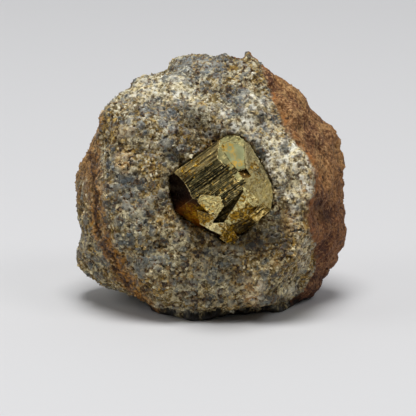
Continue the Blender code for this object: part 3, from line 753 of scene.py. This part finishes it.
crystal = {
    "rise": (0.582, -0.813),  # across the striations, (right, up)
    "terrace": (0.08, 0.36),  # mm, the least and most width of one
    "riser": 0.05,
    "cross": 0.34,  # mm, between the cuts along the striations
    "breaks": 16,  # how often the terraces change along their length
    "changed": 0.3,  # share of them that do at each
    "acrossReach": 14.0,  # mm from its middle, how far the cuts go each way
    "alongReach": 13.0,
    "breakReach": 11.0,
    "flat": 0.4,  # degrees, facets that differ less are one face
    "likeness": 0.9985,  # cosine, how near a face's direction has to come to a named one
    "edgeAngle": 8.0,  # degrees, edges sharper than this get a painted highlight
    "pitSize": 0.75,
    "pitStart": 0.12,  # from where in the noise a pit sets in, and how steeply
    "pitSlope": 6.0,
    "pitShift": (7.3, 1.1, 4.2),
    "chipSize": 0.9,  # mm, of the nicks along its edges
    "chipDepth": 0.22,
    "chipShift": (2.1, 8.4, 0.6),
    "waver": 0.12,  # mm, how far its edges stray from straight
    "waverSize": 1.6,
    "slowTone": (1.3, 6.0, 3.3),  # mm across and along, and the shift, of the slow change of tone
    "toneMix": (0.7, 0.17, 0.75),  # each line's own part in its tone, the least, and the slow change's part
    "seed": 5,
    # brown stain, and painted shade where the crystal lies in shadow, in the crystal's own frame: right, up,
    # half width, half height, strength
    "stain": [
        (-5.6, -5.0, 2.8, 2.2, 0.9), (-3.0, -5.8, 1.8, 1.4, 1.0), (5.6, -4.8, 1.6, 1.8, 0.8),
        (1.4, -9.4, 2.4, 1.6, 0.7), (-4.8, 5.2, 1.4, 1.2, 0.5), (-7.2, 3.6, 1.4, 1.0, 0.6),
        (4.6, -2.2, 0.9, 0.9, 0.4), (3.1, -5.4, 1.8, 1.2, 0.9), (-3.6, -4.4, 1.2, 1.2, 1.0),
        (1.2, -7.6, 1.6, 0.8, 0.6), (6.4, 4.3, 1.0, 1.3, 0.9),
    ],
    # yellow streaks on the plateau, and the orange glow low on the left
    "streak": [(1.5, 8.0, 1.3, 1.1, 0.9), (3.2, 4.8, 1.4, 0.9, 0.8), (2.6, 6.4, 0.8, 1.2, 0.4)],
    "glow": [(-4.8, -6.2, 2.2, 1.7, 1.0), (-6.8, -4.6, 2.2, 2.0, 0.4)],
    # painted shade: low on the right and on the left, where its faces lie in shadow
    "shade": [
        (-8.4, 0.6, 2.6, 4.0, 0.7), (7.4, 3.6, 1.6, 2.2, 0.5), (5.4, -7.6, 3.2, 1.6, 0.8),
        (1.6, -9.8, 2.0, 1.2, 0.4),
    ],
}
# How each face is finished: its slopes (out for each mm right, and each mm up), step height and pit depth
# in mm, its metal's colour, its share of brown stain, its dullness, and how much its lines differ
# the metal colours are partly each face's tarnish and partly painted shade and reflection: darker where a
# face lies in shade or mirrors the dark room, paler where it mirrors the light
crystalFaces = {
    "striated": ((0.34, -0.475), 0.08, 0.0, srgb(92, 86, 54), 0.45, 0.30, 1.0),
    "upper band": ((0.59, -0.80), 0.07, 0.05, srgb(160, 142, 92), 0.50, 0.45, 0.8),
    "bright": ((0.06, -0.73), 0.012, 0.02, srgb(100, 96, 60), 0.35, 0.8, 0.1),
    "upper right": ((-1.15, -0.78), 0.02, 0.10, srgb(176, 164, 116), 0.50, 0.95, 0.2),
    "lower right": ((-0.93, -0.27), 0.02, 0.10, srgb(206, 188, 120), 0.56, 0.92, 0.2),
    "spotted gold": ((-0.19, 0.51), 0.02, 0.10, srgb(255, 242, 172), 0.84, 0.40, 0.3),
    "dark left": ((1.53, 0.14), 0.0, 0.02, srgb(42, 12, 3), 0.04, 0.15, 0.0),
    "brown left": ((0.79, 1.25), 0.0, 0.02, srgb(40, 21, 6), 0.20, 0.40, 0.0),
    "foot": ((-0.51, 1.16), 0.03, 0.05, srgb(92, 70, 28), 0.55, 0.5, 0.4),
    "front block": ((0.20, -0.50), 0.03, 0.05, srgb(172, 162, 110), 0.70, 0.6, 0.2),
    "front step": ((0.10, 0.50), 0.03, 0.05, srgb(255, 240, 180), 0.66, 0.45, 0.3),
    "right ledge": ((-0.50, 0.35), 0.12, 0.0, srgb(164, 136, 70), 0.50, 0.35, 1.0),
    "foot ledge": ((0.00, 0.30), 0.10, 0.05, srgb(104, 78, 30), 0.55, 0.4, 0.9),
    "notch floor": ((0.70, -0.10), 0.03, 0.0, srgb(48, 44, 24), 0.30, 0.4, 0.2),
    "bright notch": ((-0.50, -0.95), 0.0, 0.02, srgb(104, 78, 34), 0.70, 0.6, 0.1),
    "plateau": ((0.06, -0.73), 0.0, 0.0, srgb(134, 136, 96), 0.05, 1.4, 0.0),
}
plateauRise = (3.8, 1.0, 7.78)  # mm, a point between the bright face and the plateau on it
sideFinish = (0.06, 0.0, srgb(142, 112, 54), 0.55, 0.5, 0.6)  # of the walls of its blocks


def terraceHeights(rng):
    # cuts across the striations, and for each stretch along them the height and the tone of each terrace
    cuts = []
    at = -crystal["acrossReach"]
    while at < crystal["acrossReach"]:
        width = rng.uniform(*crystal["terrace"])
        cuts += [at, at + width]
        at += width + crystal["riser"]
    count = len(cuts) // 2

    def rise():
        return rng.uniform(-1, 1)

    def changed(values, draw):
        return [draw() if rng.random() < crystal["changed"] else old for old in values]

    heights = [[rise() for _ in range(count)]]
    tones = [[rng.random() for _ in range(count)]]
    for _ in range(crystal["breaks"]):
        heights.append(changed(heights[-1], rise))
        tones.append(changed(tones[-1], rng.random))
    reach = crystal["breakReach"]
    breaks = sorted(rng.uniform(-reach, reach) for _ in range(crystal["breaks"]))
    return cuts, breaks, heights, tones


def crystalSkin():
    # the crystal's solid in its own frame, its flat facets joined, each face marked with the finish it takes
    bm = bmesh.new()
    bm.from_mesh(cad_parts["pyrite_crystal"].data)
    bmesh.ops.remove_doubles(bm, verts=bm.verts, dist=weldDistance)
    bm.transform(toCrystal)
    bmesh.ops.dissolve_limit(bm, angle_limit=math.radians(crystal["flat"]), verts=bm.verts, edges=bm.edges)
    facet = bm.faces.layers.int.new("facet")
    patch = bm.faces.layers.int.new("patch")
    names = list(crystalFaces)
    normals = [Vector((-a, -1, -b)).normalized() for (a, b), *_ in crystalFaces.values()]
    for number, face in enumerate(bm.faces):
        likeness = [face.normal.dot(normal) for normal in normals]
        best = max(range(len(names)), key=lambda index: likeness[index])
        if names[best] == "bright":
            centre = face.calc_center_median() - Vector((plateauRise[0], -plateauRise[2], plateauRise[1]))
            best = names.index("plateau" if centre.dot(normals[best]) > 0 else "bright")
        face[facet] = best if likeness[best] > crystal["likeness"] else len(names)
        face[patch] = number
    return bm, facet, patch


def cutAcross(bm, direction, spots):
    for spot in spots:
        geometry = bm.verts[:] + bm.edges[:] + bm.faces[:]
        bmesh.ops.bisect_plane(bm, geom=geometry, plane_co=direction * spot, plane_no=direction, dist=1e-5)


def crystalMove(vert, facet, patch, finishes, height):
    # how far a point of the skin goes in or out for terraces, pits and chips, and strays along the face
    step = max(finishes[face[facet]][0] for face in vert.link_faces)
    pit = min(finishes[face[facet]][1] for face in vert.link_faces)
    grain = noise.noise(vert.co / crystal["pitSize"] + Vector(crystal["pitShift"]))
    dip = pit * min(1.0, max(0.0, (grain - crystal["pitStart"]) * crystal["pitSlope"]))
    if len({face[patch] for face in vert.link_faces}) > 1:
        chip = noise.noise(vert.co / crystal["chipSize"] + Vector(crystal["chipShift"]))
        dip += crystal["chipDepth"] * max(0.0, chip)
    waver = noise.noise_vector(vert.co / crystal["waverSize"]) * crystal["waver"]
    waver -= vert.normal * waver.dot(vert.normal)
    return waver + vert.normal * (step * height - dip)


def dressCrystal():
    rng = random.Random(crystal["seed"])
    noise.seed_set(crystal["seed"])
    bm, facet, patch = crystalSkin()
    across = Vector((crystal["rise"][0], 0, crystal["rise"][1]))
    along = Vector((-across.z, 0, across.x))
    cuts, breaks, heights, tones = terraceHeights(rng)
    cutAcross(bm, across, cuts)
    regular = list(np.arange(-crystal["alongReach"], crystal["alongReach"], crystal["cross"]))
    cutAcross(bm, along, regular + breaks + [spot + crystal["riser"] for spot in breaks])
    finishes = [values[1:] for values in crystalFaces.values()] + [sideFinish]
    bm.normal_update()
    cutPlaces = np.array(cuts)

    def stretchAt(far):
        return sum(1 for spot in breaks if far > spot + crystal["riser"] / 2)

    def heightAt(place):
        up, far = place.dot(across), place.dot(along)
        return float(np.interp(up, cutPlaces, np.repeat(heights[stretchAt(far)], 2)))

    toneLayer = bm.faces.layers.float.new("lineTone")
    finishLayer = bm.faces.layers.float_vector.new("faceFinish")
    metalLayer = bm.faces.layers.float_vector.new("metalColour")
    edgeHighlightLayer = bm.verts.layers.float.new("edgeHighlight")
    moves = [(vert, crystalMove(vert, facet, patch, finishes, heightAt(vert.co))) for vert in bm.verts]
    for face in bm.faces:
        centre = face.calc_center_median()
        up, far = centre.dot(across), centre.dot(along)
        index = int(np.searchsorted(cutPlaces, up)) - 1
        onRiser = index % 2 == 1
        tone = tones[stretchAt(far)][min(max(index // 2, 0), len(tones[0]) - 1)]
        sizeAcross, sizeAlong, shift = crystal["slowTone"]
        slow = noise.noise(Vector((up / sizeAcross, far / sizeAlong, shift)))
        ownPart, least, slowPart = crystal["toneMix"]
        tone = min(max(tone * ownPart + least + slow * slowPart, 0.0), 1.0)
        _, _, metal, stain, dull, spread = finishes[face[facet]]
        face[toneLayer] = 1.0 if onRiser else tone
        face[finishLayer] = (spread, stain, dull)
        face[metalLayer] = metal[:3]
    # marks the points of sharp edges for the painted highlight
    for edge in bm.edges:
        border = len(edge.link_faces) == 2 and edge.link_faces[0][patch] != edge.link_faces[1][patch]
        if border and edge.calc_face_angle_signed(0.0) > math.radians(crystal["edgeAngle"]):
            for vert in edge.verts:
                vert[edgeHighlightLayer] = 1.0
    for vert, move in moves:
        vert.co += move
    bmesh.ops.triangulate(bm, faces=bm.faces)
    bmesh.ops.dissolve_degenerate(bm, dist=1e-4, edges=bm.edges)
    bm.transform(toCrystal.inverted())
    mesh = bpy.data.meshes.new("pyrite")
    bm.to_mesh(mesh)
    bm.free()
    piece = showPiece("pyrite", mesh)
    mesh.materials.append(pyriteMaterial())
    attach(piece, "root")
    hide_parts("pyrite_crystal")
    print("crystal", len(mesh.polygons), "faces")


def pyriteMaterial():
    material, tree, shader = newMaterial("pyriteMetal")
    place = toLeaning(tree, addNode(tree, "ShaderNodeTexCoord").outputs["Object"])
    flat = vectorCalc(tree, "SUBTRACT", place, leaning["crystal"])
    spread, stainShare, dull = splitPlace(tree, attribute(tree, "faceFinish", "Vector"))
    metal = attribute(tree, "metalColour", "Color")
    tone = attribute(tree, "lineTone")
    edge = attribute(tree, "edgeHighlight")

    # tarnish: some lines stay gold, others go nearly black
    cloud = speckle(tree, flat, 1.1, 4.0, 0.6)
    dash = speckle(tree, flat, 0.5, 3.0, 0.6)
    clouded = times(tree, ramp(tree, cloud, 0.38, 0.62, 0.0, 0.35), ramp(tree, stainShare, 0.15, 0.5))
    colour = blendColour(tree, clouded, metal, srgb(120, 96, 56), "MULTIPLY")
    grit = speckle(tree, flat, 0.22, 3.0, 0.7)
    gritty = ramp(tree, spread, 0.0, 0.25)
    darkGrit = times(tree, ramp(tree, grit, 0.50, 0.38, 0.0, 0.35), gritty)
    colour = tint(tree, colour, darkGrit, (120, 104, 66), "MULTIPLY")
    paleGrit = times(tree, ramp(tree, grit, 0.58, 0.68, 0.0, 0.2), gritty)
    colour = tint(tree, colour, paleGrit, (250, 240, 204))
    darkLine = times(tree, ramp(tree, tone, 0.50, 0.30), spread)
    colour = tint(tree, colour, times(tree, darkLine, 0.9), (15, 17, 10))
    goldLine = times(tree, ramp(tree, tone, 0.66, 0.78), spread)
    goldLine = times(tree, goldLine, ramp(tree, dash, 0.44, 0.56, 0.05, 1.0))
    colour = tint(tree, colour, goldLine, (252, 224, 146))
    # painted shade where the crystal's faces lie in shadow
    shade = patches(tree, flat, crystal["shade"], -4.0)
    colour = tint(tree, colour, shade, (60, 46, 30), "MULTIPLY")
    # painted highlight along the sharp edges, broken up by the cloud noise
    worn = times(tree, ramp(tree, edge, 0.35, 0.9), ramp(tree, cloud, 0.40, 0.56, 0.1, 0.7))
    colour = tint(tree, colour, worn, (216, 196, 136))

    # brown stain in spots and streaks
    spots = speckle(tree, flat, 0.42, 5.0, 0.72)
    stained = times(tree, patches(tree, flat, crystal["stain"], -4.0), 0.5)
    limit = timesPlus(tree, plus(tree, times(tree, stainShare, 0.5), stained), -0.34, 0.68)
    stain = ramp(tree, minus(tree, spots, limit), -0.012, 0.018)
    rusty = blendColour(tree, ramp(tree, dash, 0.42, 0.58), srgb(66, 41, 0), srgb(176, 128, 0))
    rusty = mottled(tree, rusty, grit, (
        (0.50, 0.60, 0.6, (216, 176, 52)),
        (0.47, 0.40, 0.85, (44, 24, 2)),
    ))
    stain = times(tree, stain, timesPlus(tree, worn, -0.7, 1.0))
    glow = share(tree, patches(tree, flat, crystal["glow"], -4.0), ramp(tree, spread, 0.05, 0.0))
    glow = times(tree, glow, ramp(tree, dash, 0.34, 0.60, 0.6, 1.0))
    colour = tint(tree, colour, glow, (176, 98, 8))
    colour = blendColour(tree, times(tree, stain, 0.92), colour, rusty)
    speck = ramp(tree, speckle(tree, flat, 0.2, 3.0, 0.7), 0.54, 0.60, 0.0, 0.85)
    speck = times(tree, speck, ramp(tree, stainShare, 0.45, 0.7))
    colour = tint(tree, colour, speck, (98, 66, 2))
    streak = patches(tree, flat, crystal["streak"], -7.0)
    streak = share(tree, streak, ramp(tree, spots, 0.47, 0.53))
    colour = tint(tree, colour, streak, (186, 140, 0))

    # the faces on the right are crusted with brown and pale dirt
    crusted = ramp(tree, dull, 0.80, 0.90)
    crusted = times(tree, crusted, ramp(tree, dull, 1.2, 1.0))
    crust = times(tree, crusted, ramp(tree, speckle(tree, flat, 0.9, 5.0, 0.7), 0.46, 0.56, 0.0, 0.65))
    crustPale = ramp(tree, speckle(tree, flat, 0.45, 3.0, 0.6), 0.46, 0.56)
    crustColour = blendColour(tree, crustPale, srgb(82, 60, 24), srgb(190, 178, 130))
    colour = blendColour(tree, crust, colour, crustColour)

    plug(tree, shader.inputs["Base Color"], colour)
    shader.inputs["Specular IOR Level"].default_value = 0.25
    metallic = timesPlus(tree, dull, -0.45, 1.0)
    metallic = times(tree, metallic, timesPlus(tree, crust, -0.7, 1.0))
    metallic = times(tree, metallic, ramp(tree, stain, 0.0, 1.0, 1.0, 0.92))
    plug(tree, shader.inputs["Metallic"], metallic)
    rough = timesPlus(tree, dull, 0.34, 0.20)
    rough = plus(tree, rough, times(tree, stain, 0.25))
    rough = plus(tree, rough, ramp(tree, cloud, 0.35, 0.65, -0.05, 0.08))
    plug(tree, shader.inputs["Roughness"], rough)
    fine = speckle(tree, flat, 0.30, 4.0, 0.65)
    height = minus(tree, times(tree, fine, 0.5), times(tree, stain, 0.6))
    bump = addNode(tree, "ShaderNodeBump", {"Height": height, "Strength": 0.35, "Distance": 0.06 * mm})
    plug(tree, shader.inputs["Normal"], bump.outputs[0])
    return material


studio = {
    "cameraDistance": 500.0,  # mm
    "pixel": 0.2037,  # mm of the specimen to one pixel of the frame
    "frame": 416,  # pixels across
    "sensor": 36.0,  # mm
    "target": (-0.4, 0.0, -4.48),  # mm in the leaning frame, the middle of the picture
    "clip": (0.01, 20.0),  # m
    "floorColour": srgb(212, 212, 213),
    "floorRoughness": 0.7,
    "floorSize": 3.0,  # m
    "lamps": {  # place, aim, power in W and width, the rest in m
        "key": ((-0.03, -0.22, 1.85), (0, 0, 0.02), 29.2, 0.95),
        "right": ((0.42, -0.25, 0.60), (0.05, 0, 0.01), 0.8, 0.3),
        "left": ((-0.45, -0.10, 0.30), (-0.04, 0, 0.01), 0.5, 0.3),
    },
    "frontWorld": (0.13, 0.13, 0.14, 1),  # what the room shows in front, and behind the specimen
    "backWorld": (0.70, 0.71, 0.73, 1),
    "worldTurn": (-0.35, 0.55),  # how far back one looks, from the one to the other
    "worldStrength": 0.45,
}


def setCamera():
    data = bpy.data.cameras.new("camera")
    data.sensor_width = studio["sensor"]
    data.lens = data.sensor_width * studio["cameraDistance"] / (studio["pixel"] * studio["frame"])
    data.clip_start, data.clip_end = studio["clip"]
    camera = bpy.data.objects.new("camera", data)
    bpy.context.scene.collection.objects.link(camera)
    target = fromLeaning @ Vector(studio["target"])
    start = fromLeaning @ (Vector(studio["target"]) - Vector((0, studio["cameraDistance"], 0)))
    camera.location = start
    camera.rotation_euler = (target - start).to_track_quat("-Z", "Y").to_euler()
    bpy.context.scene.camera = camera


def setLamp(name, place, aim, power, width):
    data = bpy.data.lights.new(name, "AREA")
    data.shape = "DISK"
    data.size = width
    data.energy = power
    lamp = bpy.data.objects.new(name, data)
    bpy.context.scene.collection.objects.link(lamp)
    lamp.location = place
    lamp.rotation_euler = (Vector(aim) - Vector(place)).to_track_quat("-Z", "Y").to_euler()


def setStudio():
    bm = bmesh.new()
    bmesh.ops.create_grid(bm, x_segments=1, y_segments=1, size=studio["floorSize"])
    mesh = bpy.data.meshes.new("floor")
    bm.to_mesh(mesh)
    bm.free()
    floor = showPiece("floor", mesh)
    material, _, shader = newMaterial("paleFloor")
    shader.inputs["Base Color"].default_value = studio["floorColour"]
    shader.inputs["Roughness"].default_value = studio["floorRoughness"]
    mesh.materials.append(material)
    for name, (place, aim, power, width) in studio["lamps"].items():
        setLamp(name, place, aim, power, width)
    world = bpy.data.worlds.new("studio")
    bpy.context.scene.world = world
    world.use_nodes = True
    tree = world.node_tree
    direction = addNode(tree, "ShaderNodeTexCoord").outputs["Generated"]
    backwards = ramp(tree, splitPlace(tree, direction)[1], *studio["worldTurn"])
    shade = blendColour(tree, backwards, studio["frontWorld"], studio["backWorld"])
    back = tree.nodes["Background"]
    plug(tree, back.inputs["Color"], shade)
    back.inputs["Strength"].default_value = studio["worldStrength"]
    bpy.context.scene.view_settings.view_transform = "Standard"
    print("studio: camera, floor and", len(studio["lamps"]), "lamps")


setCamera()
setStudio()
skins = dressRock()
dressGrains(skins)
dressCrystal()
